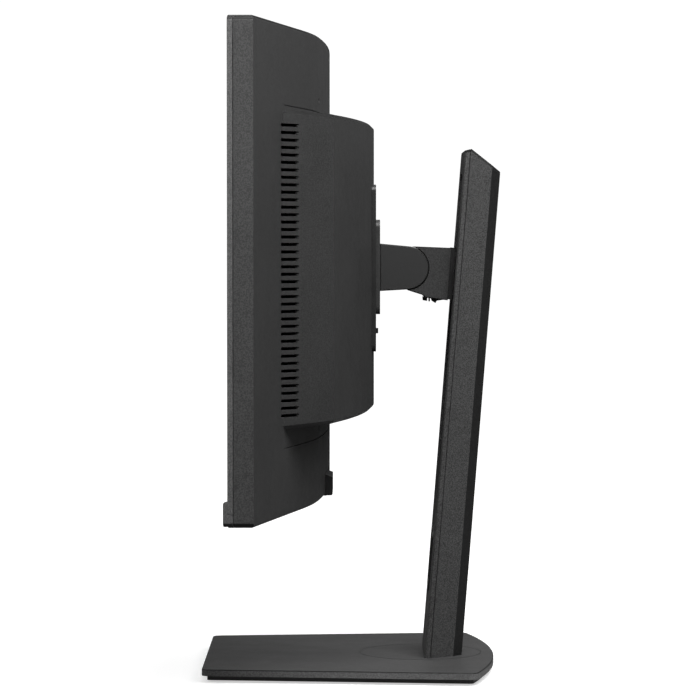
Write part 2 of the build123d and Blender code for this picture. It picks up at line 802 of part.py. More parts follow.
# ---- neck ----
def release_plate():
    """Plate on the arm that hooks on to the display's pad."""
    face = Pos(0, tilt_axis_z + plate_drop) * RectangleRounded(*plate_size, 6)
    plate = extrude(Plane.XZ * face, -plate_back_y)
    plate = plate & block((-99, 99), (pad_back_y, plate_back_y), (0, 999))
    for x, z in hook_places():
        low, high = z - hook_height / 2, z + hook_height / 2
        plate += block((x - hook_half, x + hook_half), (pad_back_y - 6, pad_back_y + 1), (low, high))
        plate += block((x - hook_half, x + hook_half), (pad_back_y - 6, pad_back_y - 4.2), (low, high + 2.4))
    for x, z in plate_screw_places():
        plate -= rod("y", (x, pad_back_y, z), 3.4, 3.6)
        plate -= rod("y", (x, pad_back_y, z), 1.8, 20)
    return plate


def plate_screw_places():
    """The four screws from the plate into the arm, (x, z)."""
    return [(x, tilt_axis_z + z) for x in (-16, 16) for z in (-11, 11)]


def plate_screws():
    """Countersunk screws that hold the arm to its plate."""
    screws = []
    for x, z in plate_screw_places():
        head = rod("y", (x, pad_back_y + 1.0, z), 3.2, 1.6)
        screws.append(head + rod("y", (x, pad_back_y + 4.2, z), 1.7, 5.6))
    return screws


def arm_profile(skin):
    """The arm from the side: a straight root that runs into the round barrel."""
    radius = barrel_radius - skin
    root_y = plate_back_y + (skin * 1.5 if skin else 0)
    low, high = arm_root[0] + skin, arm_root[1] - skin
    points = []
    for root_z, side in ((high, 1), (low, -1)):
        rise = root_z - tilt_axis_z
        run = root_y - tilt_axis_y
        reach = sqrt(rise**2 + run**2)
        angle = atan2(rise, run) - side * (pi / 2 - asin(radius / reach))
        points.append((tilt_axis_y + radius * cos(angle), tilt_axis_z + radius * sin(angle)))
    upper, lower = points
    corners = [upper, (root_y, high), (root_y, low), lower]
    lines = [Line(start, end).edge() for start, end in zip(corners, corners[1:])]
    arc = ThreePointArc(lower, (tilt_axis_y + radius, tilt_axis_z), upper)
    return make_face(lines + [arc.edge()])


def arm_prism(skin, half):
    """The arm's side profile, extruded to both sides."""
    return extrude(Plane.YZ.offset(-half) * arm_profile(skin), 2 * half)


def arm_shell():
    """Die-cast tilt arm: two cheeks, a skin between them and a slot for the carriage's tongue."""
    arm = arm_prism(0, neck_half)
    arm = chamfer(arm.edges().group_by(Axis.X)[0] + arm.edges().group_by(Axis.X)[-1], 0.8)
    arm -= arm_prism(arm_skin, neck_half - arm_cheek)
    slot = side_prism(sector(barrel_radius + 3, 58, 58), tongue_half + 0.6)
    arm -= slot
    arm -= rod("x", tilt_axis(), shaft_radius, 2 * (neck_half - 2))
    for x, z in plate_screw_places():
        arm -= rod("y", (x, plate_back_y, z), 1.7, 9)
    return arm


def tilt_axis():
    """A point on the tilt axis."""
    return (0, tilt_axis_y, tilt_axis_z)


def sector(radius, above, below):
    """Pie slice of (y, z) points on the barrel's rear side, from below to above the horizontal."""
    points = [(tilt_axis_y, tilt_axis_z)]
    for step in range(7):
        angle = radians(-below + (above + below) * step / 6)
        points.append((tilt_axis_y + 1.2 * radius * cos(angle), tilt_axis_z + 1.2 * radius * sin(angle)))
    return points


def tilt_shaft():
    """Shaft held in the arm's cheeks."""
    return rod("x", tilt_axis(), shaft_radius, 2 * (neck_half - 2.2))


def friction_washers():
    """Two friction washers on each side of the tongue."""
    washers = []
    for side in (-1, 1):
        for index in range(2):
            x = side * (tongue_half + 0.1 + 0.6 + index * 1.3)
            centre = (x, tilt_axis_y, tilt_axis_z)
            washers.append(ring("x", centre, shaft_radius + running_clearance, 10.5, 1.2))
    return group(washers)


def tilt_spring():
    """Spring coiled round the shaft, as the closed sleeve that its turns fill."""
    x = tongue_half + 3.1
    return ring("x", (x + 1.85, tilt_axis_y, tilt_axis_z), shaft_radius + 1.2, shaft_radius + 3.4, 3.6)


def local_block(x, depth, height):
    """A box in the column's own leaning frame."""
    return column_frame.location * block(x, depth, height)


def steel_tongue():
    """Carriage bracket: slider plate in the rail, neck through the slot, and the tilt tongue."""
    middle = carriage_height
    plate = local_block((-rail_inner() + 4.6, rail_inner() - 4.6), slider_depth,
                        (middle - slider_half_height, middle + slider_half_height))
    half_height = steel_neck_height / 2
    neck = local_block((-steel_neck_half, steel_neck_half), (-7.0, slider_depth[0] + 1),
                       (middle - half_height, middle + half_height))
    bar_z = (tilt_axis_z - tongue_height / 2, tilt_axis_z + tongue_height / 2)
    bar = block((-tongue_half, tongue_half), (tilt_axis_y, column_face_y(tilt_axis_z) - 3), bar_z)
    eye = rod("x", tilt_axis(), tongue_radius, 2 * tongue_half)
    bore = rod("x", tilt_axis(), shaft_radius + running_clearance, 2 * tongue_half + 10)
    return plate + neck + bar + eye - bore


def rail_inner():
    """Half of the rail's inner width."""
    return rail_half - rail_wall


def slide_shoes():
    """Four plastic shoes on the slider plate's corners."""
    middle = carriage_height
    reach = rail_inner() - shoe_clearance
    shoes = []
    for side in (-1, 1):
        for end in (-1, 1):
            x = sorted((side * (rail_inner() - 4.6), side * reach))
            z = sorted((middle + end * (slider_half_height - 12), middle + end * slider_half_height))
            front = rail_depth[0] + rail_lip + shoe_clearance
            shoes.append(local_block(x, (front, slider_depth[1] + 2), z))
    return group(shoes)


def from_tilt_axis(points):
    """Points given from the tilt axis, as (y, z)."""
    return [(tilt_axis_y + y, tilt_axis_z + z) for y, z in points]


def carriage_end(rise):
    """Depth behind the tilt axis where the carriage cover ends, at a height above that axis."""
    return neck_reach - carriage_gap + rise * tan(radians(column_lean))


def carriage_block():
    """Cover over the carriage, with the round seat that the barrel turns in."""
    top, bottom = carriage_span
    end = carriage_end(0)
    outline = [(0, 0), (4.7, 17.8), (carriage_end(top), top), (carriage_end(bottom), bottom), *carriage_belly]
    body = side_prism(from_tilt_axis(outline), neck_half)
    body = chamfer(body.edges().group_by(Axis.X)[0] + body.edges().group_by(Axis.X)[-1], carriage_chamfer)
    inner = [
        (6, top - 2.3), (end + 9, top - carriage_wall), (end + 9, bottom + carriage_wall),
        (16.5, -21.6), (7, -17),
    ]
    seat = barrel_radius + barrel_gap
    hollow = side_prism(from_tilt_axis(inner), neck_half - carriage_wall)
    hollow -= rod("x", tilt_axis(), seat + carriage_wall, 200)
    body = body - rod("x", tilt_axis(), seat, 200) - hollow
    slot_z = (tilt_axis_z - tongue_height / 2 - 0.4, tilt_axis_z + tongue_height / 2 + 0.4)
    return body - block((-tongue_half - 0.4, tongue_half + 0.4), (tilt_axis_y, tilt_axis_y + end), slot_z)


def neck_collar():
    """Black collar that fills the gap between the carriage cover and the column."""
    middle = carriage_height
    height = (middle - collar_height / 2, middle + collar_height / 2)
    collar = local_block((-neck_half + 2, neck_half - 2), (-3.8, -collar_gap), height)
    half_height = steel_neck_height / 2
    neck = (middle - half_height, middle + half_height)
    hole = local_block((-steel_neck_half, steel_neck_half), (-9, 9), neck)
    return collar - hole


def cable_clip():
    """Small clip under the carriage cover: two jaws with a gap between them, and a wedge behind."""
    front_jaw = [(13.4, -24.1), (17.4, -24.5), (17.2, -27.8), (13.7, -27.2)]
    rear_jaw = [(20.2, -24.9), (21.2, -27.8), (24.2, -29.6), (25.2, -27.6), (30.4, -26.9), (30.2, -25.9)]
    bridge = [(15.4, -24.0), (30.2, -25.6), (30.3, -26.4), (15.4, -25.0)]
    pin = [(18.5, -28.2), (19.6, -28.2), (19.6, -24.9), (18.5, -24.9)]
    clip = side_prism(from_tilt_axis(pin), clip_half - 1)
    for profile in (front_jaw, rear_jaw, bridge):
        clip += side_prism(from_tilt_axis(profile), clip_half)
    bottom = carriage_span[1]
    above = [(5.3, 0), (carriage_end(0), 0), (carriage_end(bottom), bottom), *carriage_belly[:3]]
    return clip - side_prism(from_tilt_axis(above), neck_half)


def release_button():
    """Push button under the plate, with the slide behind the pad that frees its lower hooks."""
    low = tilt_axis_z - button_drop - button_size[1] / 2
    half = button_size[0] / 2
    nub_y = (box_inner_back_y - 1.5, pad_back_y + button_proud)
    nub = block((-half, half), nub_y, (low, low + button_size[1]))
    body = block((-13, 13), (box_inner_back_y - 3.9, box_inner_back_y - 1.2), (low - 6, low + 12))
    return nub + body


def release_spring():
    """The button's return spring, as the closed sleeve that its turns fill."""
    low = tilt_axis_z - button_drop - button_size[1] / 2 + 12
    high = spring_stop()[0]
    y = box_inner_back_y - 3.6
    return ring("z", (0, y, (low + high) / 2), 1.4, 2.2, high - low)


# ---- column ----
def column_section():
    """The column's cross-section, as (x, depth) with softened front corners."""
    right = [
        (column_front_half - column_front_bevel, 0), (column_front_half, column_front_bevel),
        (column_front_half, column_side_strip), column_shoulder, column_rear,
    ]
    left = [(-x, depth) for x, depth in reversed(right)]
    return make_face(Polyline(*right, *left, close=True))


def column_solid(inset):
    """The column's outer form, moved inwards by inset, with its slanted top."""
    section = offset(column_section(), -inset, kind=Kind.INTERSECTION) if inset else column_section()
    prism = extrude(Plane.XY.offset(-20) * section, column_height + 60)
    depth = column_rear[1]
    top = column_height - inset
    profile = [
        (-1, -19), (-1, top), (column_side_strip + 1, top + column_peak),
        (depth + 1, top - column_rear_drop - 0.6), (depth + 1, -19),
    ]
    body = prism & side_prism(profile, 60)
    if not inset:
        body = chamfer([edge for edge in body.edges() if is_column_top(edge)], column_top_bevel)
    return column_frame.location * body & block((-99, 99), (-50, 250), (base_top_z, 600))


def is_column_top(edge):
    """True for an edge where a side wall of the column meets its slanted top."""
    top = edge.center().Z > column_height - column_rear_drop - 2
    level = abs((edge @ 0).Z - (edge @ 1).Z) < 20
    return top and level and abs(edge.center().X) > 1


def column_shell():
    """The column's hollow skin, with the slot that the carriage runs in."""
    shell = column_solid(0) - column_solid(column_wall)
    slot = (
        carriage_height - travel_down - steel_neck_height / 2 - slot_spare[0],
        carriage_height + travel_up + steel_neck_height / 2 + slot_spare[1],
    )
    shell -= local_block((-slot_half, slot_half), (-5, column_wall + 1), slot)
    return shell - cable_passage(grommet_wall)


def cable_passage(margin):
    """The hole through the column for cables, grown by a margin."""
    width = cable_hole[0] + 2 * margin
    height = cable_hole[1] + 2 * margin
    face = Pos(0, cable_hole_height) * RectangleRounded(width, height, 8 + margin)
    return column_frame.location * (Pos(0, 60, 0) * extrude(Plane.XZ * face, 80))


def column_front():
    """Front half of the column's cover."""
    strip = local_block((-60, 60), (-5, column_side_strip), (-30, 500))
    return column_shell() & strip


def column_back():
    """Rear half of the column's cover, with the tongue that the front half sits on."""
    rest = local_block((-60, 60), (column_side_strip + seam, 60), (-30, 500))
    shell = column_shell() & rest
    liner = column_solid(column_wall) - column_solid(column_wall + 1.4)
    liner = liner & local_block((-60, 60), (column_side_strip - 1, column_side_strip + 3), (-30, 500))
    liner -= local_block((-column_front_half + 7, column_front_half - 7), (-5, 60), (-30, 500))
    return shell + (liner - cable_passage(grommet_wall))


def cable_grommet():
    """Liner of the cable hole, with a thin flange on the column's front face."""
    tube = cable_passage(grommet_wall) - cable_passage(0)
    tube = tube & local_block((-60, 60), (0, column_rear[1]), (-30, 500))
    flange = cable_passage(grommet_wall + 1.5) - cable_passage(0)
    return tube + (flange & local_block((-60, 60), (-0.9, 0), (-30, 500)))


def column_rail():
    """Steel channel that the shoes slide in, with lips that keep them in and a hole for cables."""
    height = (4, column_height - 22)
    rail = local_block((-rail_half, rail_half), rail_depth, height)
    inner = rail_inner()
    rail -= local_block((-inner, inner), (rail_depth[0] + rail_lip, rail_depth[1] - rail_wall), (-30, 500))
    rail -= local_block((-inner + 3.6, inner - 3.6), (0, rail_depth[0] + 3), (-30, 500))
    rail -= cable_passage(grommet_wall + 0.5)
    return rail & block((-99, 99), (0, 200), (base_top_z + 5, 600))


def column_foot():
    """Steel foot inside the column, bolted to the turning disc."""
    plate = column_solid(column_wall + 1.8) & block((-99, 99), (0, 200), (base_top_z, base_top_z + 5))
    for x, y in column_bolt_places():
        plate -= rod("z", (x, y, base_top_z), 2.5, 30)
    return plate - rod("z", screw_centre(0), 3.0, 60)


def column_bolt_places():
    """The column's four bolts, (x, y)."""
    return [(x, column_front_y + y) for x, y in ((-24, 9), (24, 9), (-18, 17), (18, 17))]


def screw_centre(z):
    """A point on the thumb screw's axis."""
    return (0, column_front_y + 15.5, z)


def column_bolts():
    """Bolts up through the turning disc into the column's foot."""
    bolts = []
    for x, y in column_bolt_places():
        head = rod("z", (x, y, 4.0), 4.0, 2.4)
        bolts.append(head + rod("z", (x, y, 9.8), 2.5, 10.8))
    return group(bolts)


def spool_place():
    """Depth and height of the spring rolls' axle in the column's frame."""
    highest_slider = carriage_height + travel_up + slider_half_height
    return (slider_depth[0] + spool_radius, highest_slider + spool_radius + 1.0)


def spring_sides():
    """X range of each spring."""
    return [sorted((side * 4.0, side * 16.0)) for side in (-1, 1)]


def spring_rolls():
    """Coiled steel springs that carry the display's weight, on one axle."""
    depth, height = spool_place()
    rolls = []
    for x in spring_sides():
        centre = (sum(x) / 2, depth, height)
        rolls.append(column_frame.location * ring("x", centre, 2.5, spool_radius, x[1] - x[0]))
    return group(rolls)


def spring_strips():
    """The springs' straight runs, from the rolls down to the slider plate."""
    _, height = spool_place()
    low = carriage_height + steel_neck_height / 2 + 2
    depth = (slider_depth[0] - 0.3, slider_depth[0] - 0.02)
    return group([local_block(x, depth, (low, height)) for x in spring_sides()])


def spool_axle():
    """Axle across the rail that carries both spring rolls."""
    depth, height = spool_place()
    return column_frame.location * rod("x", (0, depth, height), 2.45, 2 * rail_inner())


# ---- base ----
def base_outline(inset):
    """The base in plan: straight front and sides, bowed rear."""
    corners = [
        (-base_front_half, base_front_y), (base_front_half, base_front_y),
        (base_rear_half, base_corner_y), (-base_rear_half, base_corner_y),
    ]
    lines = [Line(corners[0], corners[1]), Line(corners[1], corners[2]), Line(corners[3], corners[0])]
    rear = ThreePointArc(corners[2], (0, base_rear_y), corners[3])
    face = make_face([line.edge() for line in lines] + [rear.edge()])
    vertices = face.vertices().sort_by(Axis.Y)
    face = fillet(vertices[:2], base_corner_rounds[0])
    face = fillet(face.vertices().sort_by(lambda v: -abs(v.X))[:2], base_corner_rounds[1])
    return offset(face, -inset, kind=Kind.INTERSECTION) if inset else face


def base_prism(inset, z):
    """The base's outline raised between two heights."""
    return extrude(Plane.XY.offset(z[0]) * base_outline(inset), z[1] - z[0])


def swivel_rod(radius, z):
    """A cylinder about the swivel axis between two heights."""
    return rod("z", (0, swivel_y, (z[0] + z[1]) / 2), radius, z[1] - z[0])


def base_cover():
    """Top cover of the base: a skirted skin with ribs that sit on the steel plate."""
    cover = base_prism(0, (base_bottom_z, base_top_z))
    cover = fillet(cover.edges().group_by(Axis.Z)[-1], base_edge_round)
    pocket = base_prism(base_inset - 0.2, (base_bottom_z - 1, base_top_z - base_skin))
    ribs = []
    rib_z = (base_plate_z[1], base_top_z - 1)
    places = [index * rib_pitch for index in range(-3, 4)]
    for place in places:
        ribs.append(block((place - rib_half, place + rib_half), (-200, 200), rib_z))
    for place in places[:-2]:
        ribs.append(block((-200, 200), (place - rib_half, place + rib_half), rib_z))
    grid = base_prism(base_inset - 1, rib_z) & Compound(children=ribs)
    keep_out = swivel_rod(disc_radius + 4, (0, base_top_z - base_skin))
    wall = swivel_rod(disc_radius + 4, (base_plate_z[1], base_top_z - 1))
    cover = cover - pocket + (grid - keep_out) + wall
    return cover - swivel_rod(disc_radius + disc_groove, (0, base_top_z + 5))


def base_plate():
    """Steel ballast plate, bored for the turning disc's hub."""
    plate = base_prism(base_inset, base_plate_z)
    plate -= swivel_rod(retainer_radius + 1, (0, base_plate_z[0] + 2.7))
    plate -= swivel_rod(hub_radius + running_clearance, (0, 20))
    for x, y in base_screw_places():
        plate -= rod("z", (x, y, 0), 3.4, 5.4)
        plate -= rod("z", (x, y, 0), 1.7, 30)
    return plate


def base_screw_places():
    """The base's four screws, (x, y)."""
    return [(x, y) for y in (base_front_y + 24, -20.0) for x in (-85.0, 85.0)]


def base_screws():
    """Screws from below that hold the cover to the plate."""
    screws = []
    for x, y in base_screw_places():
        screws.append(rod("z", (x, y, 2.1), 3.2, 1.1) + rod("z", (x, y, 4.3), 1.6, 3.4))
    return group(screws)


def swivel_disc():
    """Turning disc with its hub, bored for the column's bolts and thumb screw."""
    top = (base_top_z - disc_thickness, base_top_z)
    disc = swivel_rod(disc_radius, top) + swivel_rod(hub_radius, (2.2, top[0] + 0.5))
    for x, y in column_bolt_places():
        disc -= rod("z", (x, y, 3.0), 4.2, 4.8)
        disc -= rod("z", (x, y, 8.0), 2.5, 20)
    disc -= rod("z", screw_centre(3.7), 11.5, 3.2)
    return disc - rod("z", screw_centre(0), 3.1, 60)


def swivel_retainer():
    """Ring under the base plate that keeps the hub in."""
    return ring("z", (0, swivel_y, 3.1), hub_radius, retainer_radius, 1.6)


def swivel_washer():
    """Plastic washer that the turning disc runs on."""
    top = base_top_z - disc_thickness - running_clearance
    z = (base_plate_z[1], top)
    return swivel_rod(disc_radius - 3, z) - swivel_rod(hub_radius + 3, (0, 20))


def thumb_screw():
    """Captive screw with a folded ring that holds the column to the turning disc."""
    x, y, _ = screw_centre(0)
    screw = rod("z", (x, y, 4.2), 6.0, 1.8) + rod("z", (x, y, 9.6), 2.95, 9.4)
    bow = ring("z", (x, y, 2.9), 7.6, 10.2, 1.0) + block((x - 9, x + 9), (y - 1, y + 1), (2.4, 3.5))
    return screw + bow


def base_feet():
    """Rubber feet."""
    places = [(x, y) for x in (-88, 88) for y in (base_front_y + 12, -8.0)]
    places += [(x, base_corner_y - 18) for x in (-106, 106)] + [(0, base_front_y + 12)]
    return group([rod("z", (x, y, base_plate_z[0] / 2), foot_radius, base_plate_z[0]) for x, y in places])


# ---- all nodes ----
def all_nodes():
    """Every node's name and shape."""
    nodes = dict(panel_stack())
    nodes["front_frame"] = front_frame()
    nodes["bottom_bezel"] = bottom_bezel()
    nodes["rear_cover"] = rear_cover()
    nodes["box_cover"] = box_cover()
    nodes["mount_pad"] = mount_pad()
    nodes["display_screws"] = display_screws()
    nodes["control_pod"] = control_pod()
    nodes["control_board"] = control_board()
    places = key_places()
    for index, x in enumerate(places[:-1], 1):
        nodes[f"menu_key_{index}"] = key(x)
    nodes["power_key"] = key(places[-1])
    nodes["board_bracket"] = board_bracket()
    nodes["vesa_bracket"] = vesa_bracket()
    nodes["main_board"] = main_board()
    nodes["heat_sink"] = heat_sink()
    nodes["power_board"] = power_board()
    nodes["power_inlet"] = power_inlet()
    nodes["audio_jack"] = audio_jack()
    nodes["video_and_usb_sockets"] = group(sockets(port_list()))
    nodes["usb_host_socket"] = group(sockets(host_port()))
    nodes["speakers"] = group([speaker(-1), speaker(1)])
    nodes["timing_board"] = timing_board()
    nodes["panel_ribbon"] = panel_ribbon()
    nodes["release_plate"] = release_plate()
    nodes["arm_shell"] = arm_shell()
    nodes["tilt_shaft"] = tilt_shaft()
    nodes["friction_washers"] = friction_washers()
    nodes["tilt_spring"] = tilt_spring()
    nodes["release_button"] = release_button()
    nodes["release_spring"] = release_spring()
    nodes["carriage_bracket"] = steel_tongue()
    nodes["slide_shoes"] = slide_shoes()
    nodes["carriage_cover"] = carriage_block()
    nodes["neck_collar"] = neck_collar()
    nodes["cable_clip"] = cable_clip()
    nodes["column_front"] = column_front()
    nodes["column_back"] = column_back()
    nodes["cable_grommet"] = cable_grommet()
    nodes["column_rail"] = column_rail()
    nodes["column_foot"] = column_foot()
    nodes["column_bolts"] = column_bolts()
    nodes["spring_rolls"] = spring_rolls()
    nodes["spring_strips"] = spring_strips()
    nodes["spool_axle"] = spool_axle()
    nodes["swivel_disc"] = swivel_disc()
    nodes["swivel_retainer"] = swivel_retainer()
    nodes["thumb_screw"] = thumb_screw()
    nodes["swivel_washer"] = swivel_washer()
    nodes["base_cover"] = base_cover()
    nodes["base_plate"] = base_plate()
    nodes["base_screws"] = base_screws()
    nodes["base_feet"] = base_feet()
    return nodes


os.makedirs("parts", exist_ok=True)
for name, shape in all_nodes().items():
    export_step(shape, f"parts/{name}.step")
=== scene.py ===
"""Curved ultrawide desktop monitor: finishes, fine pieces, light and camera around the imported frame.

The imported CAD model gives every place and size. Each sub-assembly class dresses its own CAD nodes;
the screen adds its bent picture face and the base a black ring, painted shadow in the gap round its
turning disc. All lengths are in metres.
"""

from __future__ import annotations

import json
import logging
import math
from dataclasses import dataclass, field
from enum import Enum
from typing import Iterable, Sequence, Union

import bmesh
import bpy
from mathutils import Matrix, Vector

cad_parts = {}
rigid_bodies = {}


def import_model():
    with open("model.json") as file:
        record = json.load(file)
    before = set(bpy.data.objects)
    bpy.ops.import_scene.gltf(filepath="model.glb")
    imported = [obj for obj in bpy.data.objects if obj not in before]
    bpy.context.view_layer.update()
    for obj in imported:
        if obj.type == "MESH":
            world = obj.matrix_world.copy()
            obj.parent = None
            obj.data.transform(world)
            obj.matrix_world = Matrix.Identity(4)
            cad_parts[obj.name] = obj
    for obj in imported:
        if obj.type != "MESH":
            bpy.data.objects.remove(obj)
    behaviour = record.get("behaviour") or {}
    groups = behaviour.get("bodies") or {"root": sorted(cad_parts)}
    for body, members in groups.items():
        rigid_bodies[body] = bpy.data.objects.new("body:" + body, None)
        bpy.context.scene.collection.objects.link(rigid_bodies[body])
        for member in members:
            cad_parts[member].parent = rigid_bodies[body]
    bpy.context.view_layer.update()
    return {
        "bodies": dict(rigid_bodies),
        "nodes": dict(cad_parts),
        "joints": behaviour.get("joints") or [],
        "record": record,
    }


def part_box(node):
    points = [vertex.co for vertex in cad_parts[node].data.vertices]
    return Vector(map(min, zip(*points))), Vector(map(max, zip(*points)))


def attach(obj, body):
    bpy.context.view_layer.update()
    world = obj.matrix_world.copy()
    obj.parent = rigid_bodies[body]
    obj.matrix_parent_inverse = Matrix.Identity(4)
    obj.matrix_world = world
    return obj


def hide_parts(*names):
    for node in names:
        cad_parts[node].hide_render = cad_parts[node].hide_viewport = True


LOG = logging.getLogger("monitor")
MM = 0.001


# ---------------------------------------------------------------------------
# Node graphs
# ---------------------------------------------------------------------------
class MathOp(Enum):
    """Scalar operations that a value expression may use."""

    ADD = "ADD"
    SUBTRACT = "SUBTRACT"
    MULTIPLY = "MULTIPLY"
    DIVIDE = "DIVIDE"
    POWER = "POWER"
    MAXIMUM = "MAXIMUM"
    MINIMUM = "MINIMUM"
    ABSOLUTE = "ABSOLUTE"


Number = Union[int, float]
Operand = Union["Value", int, float]


@dataclass(frozen=True)
class Value:
    """A scalar socket that can be written in Python arithmetic."""

    graph: "Graph"
    socket: bpy.types.NodeSocket

    def _apply(self, operation: MathOp, left: Operand, right: Operand) -> "Value":
        """Add one Math node.

        Args:
            operation: what the node does.
            left: first operand.
            right: second operand.

        Returns:
            The node's result.
        """
        node = self.graph.node("ShaderNodeMath", {"operation": operation.value}, {0: left, 1: right})
        return Value(self.graph, node.outputs[0])

    def __add__(self, other: Operand) -> "Value":
        """Sum."""
        return self._apply(MathOp.ADD, self, other)

    __radd__ = __add__

    def __sub__(self, other: Operand) -> "Value":
        """Difference."""
        return self._apply(MathOp.SUBTRACT, self, other)

    def __rsub__(self, other: Operand) -> "Value":
        """Reflected difference."""
        return self._apply(MathOp.SUBTRACT, other, self)

    def __abs__(self) -> "Value":
        """Size without sign."""
        return self._apply(MathOp.ABSOLUTE, self, 0.0)

    def __mul__(self, other: Operand) -> "Value":
        """Product."""
        return self._apply(MathOp.MULTIPLY, self, other)

    __rmul__ = __mul__

    def __pow__(self, other: Operand) -> "Value":
        """Power."""
        return self._apply(MathOp.POWER, self, other)

    def clamp(self) -> "Value":
        """The value held between 0 and 1."""
        node = self.graph.node("ShaderNodeClamp", {}, {"Value": self})
        return Value(self.graph, node.outputs[0])

    def span(self, low: Number, high: Number, start: Number = 0.0, end: Number = 1.0) -> "Value":
        """Map a range on to another one, held at its ends.

        Args:
            low: input that gives start.
            high: input that gives end.
            start: result at low.
            end: result at high.

        Returns:
            The mapped value.
        """
        sockets = {"Value": self, "From Min": low, "From Max": high, "To Min": start, "To Max": end}
        node = self.graph.node("ShaderNodeMapRange", {"interpolation_type": "SMOOTHSTEP"}, sockets)
        return Value(self.graph, node.outputs[0])


class Graph:
    """One material's node tree, with a single way to make each kind of node."""

    def __init__(self, name: str) -> None:
        """Start an empty material.

        Args:
            name: the material's name.
        """
        self.material = bpy.data.materials.new(name)
        self.material.use_nodes = True
        self.tree = self.material.node_tree
        self.tree.nodes.clear()

    @classmethod
    def on_tree(cls, tree: bpy.types.NodeTree) -> "Graph":
        """Use a node tree that exists, such as the world's.

        Args:
            tree: the tree, which is emptied.

        Returns:
            The graph.
        """
        made = cls.__new__(cls)
        made.tree = tree
        tree.nodes.clear()
        return made

    def node(self, kind: str, settings: dict, sockets: dict) -> bpy.types.Node:
        """Make any node: its settings first, then its sockets.

        Args:
            kind: the node's type.
            settings: attribute names and values; "stops" holds a ramp's (place, colour) pairs.
            sockets: input names or numbers, with numbers, colours, sockets or values to feed them.

        Returns:
            The new node.
        """
        made = self.tree.nodes.new(kind)
        for name, setting in settings.items():
            if name == "stops":
                self._stops(made, setting)
            else:
                setattr(made, name, setting)
        for name, source in sockets.items():
            self.feed(made.inputs[name], source)
        return made

    @staticmethod
    def _stops(made: bpy.types.Node, stops: Sequence[tuple]) -> None:
        """Set a colour ramp's stops.

        Args:
            made: the ramp node.
            stops: (place, colour) pairs in order.
        """
        ramp = made.color_ramp
        while len(ramp.elements) < len(stops):
            ramp.elements.new(0.5)
        for element, (place, colour) in zip(ramp.elements, stops):
            element.position = place
            element.color = colour

    def feed(self, socket: bpy.types.NodeSocket, source: object) -> None:
        """Link a socket, or set its own number or colour.

        Args:
            socket: the input.
            source: a Value, an output socket, or a plain value.
        """
        if isinstance(source, Value):
            self.tree.links.new(source.socket, socket)
        elif isinstance(source, bpy.types.NodeSocket):
            self.tree.links.new(source, socket)
        else:
            socket.default_value = source

    def place(self) -> bpy.types.NodeSocket:
        """Object coordinates, in metres in the shared frame."""
        return self.node("ShaderNodeTexCoord", {}, {}).outputs["Object"]

    def stretched(self, scale: tuple) -> bpy.types.NodeSocket:
        """Object coordinates scaled along each axis.

        Args:
            scale: factors along X, Y and Z.

        Returns:
            The scaled coordinates.
        """
        node = self.node(
            "ShaderNodeVectorMath",
            {"operation": "MULTIPLY"},
            {0: self.place(), 1: scale},
        )
        return node.outputs[0]

    def noise(self, scale: float, detail: float = 2.0, rough: float = 0.5, at: object = None) -> Value:
        """Cloudy noise.

        Args:
            scale: repeats per metre.
            detail: octaves.
            rough: strength of the finer octaves.
            at: coordinates, or None for object coordinates.

        Returns:
            The noise value.
        """
        sockets = {"Vector": at or self.place(), "Scale": scale, "Detail": detail, "Roughness": rough}
        return Value(self, self.node("ShaderNodeTexNoise", {}, sockets).outputs[0])

    def cells(self, scale: float, at: object = None) -> Value:
        """Distance to the nearest cell centre, as in a spark-eroded mould texture.

        Args:
            scale: cells per metre.
            at: coordinates, or None for object coordinates.

        Returns:
            The distance, from 0 at a centre.
        """
        sockets = {"Vector": at or self.place(), "Scale": scale}
        return Value(self, self.node("ShaderNodeTexVoronoi", {"feature": "F1"}, sockets).outputs["Distance"])

    def height(self) -> Value:
        """Z of the shaded point, in metres."""
        split = self.node("ShaderNodeSeparateXYZ", {}, {"Vector": self.place()})
        return Value(self, split.outputs["Z"])

    def facing(self) -> tuple:
        """The surface's own direction, as X, Y and Z shares in its object's frame."""
        normal = self.node("ShaderNodeTexCoord", {}, {}).outputs["Normal"]
        split = self.node("ShaderNodeSeparateXYZ", {}, {"Vector": normal})
        return tuple(Value(self, split.outputs[axis]) for axis in "XYZ")

    def blend(self, factor: Operand, first: tuple, second: tuple) -> bpy.types.NodeSocket:
        """Mix two colours.

        Args:
            factor: 0 gives the first, 1 the second.
            first: colour.
            second: colour.

        Returns:
            The mixed colour.
        """
        node = self.node("ShaderNodeMix", {"data_type": "RGBA"}, {0: factor, 6: first, 7: second})
        return node.outputs[2]

    def bump(self, height: Value, strength: float, distance: float) -> bpy.types.NodeSocket:
        """Turn a height into a normal.

        Args:
            height: the relief, from 0 to 1.
            strength: how much of it shows.
            distance: the relief's depth in metres.

        Returns:
            The normal.
        """
        sockets = {"Height": height, "Strength": strength, "Distance": distance}
        return self.node("ShaderNodeBump", {}, sockets).outputs[0]

    def surface(self, sockets: dict) -> bpy.types.Material:
        """Finish with one Principled shader.

        Args:
            sockets: its inputs.

        Returns:
            The finished material.
        """
        shader = self.node("ShaderNodeBsdfPrincipled", {}, sockets)
        self.node("ShaderNodeOutputMaterial", {}, {"Surface": shader.outputs[0]})
        return self.material


def grey(level: float, tint: float = 0.0) -> tuple:
    """A grey with a slight blue or warm tint.

    Args:
        level: linear brightness.
        tint: share added to blue and taken from red.

    Returns:
        Linear RGBA.
    """
    return (level * (1 - tint), level, level * (1 + tint), 1.0)


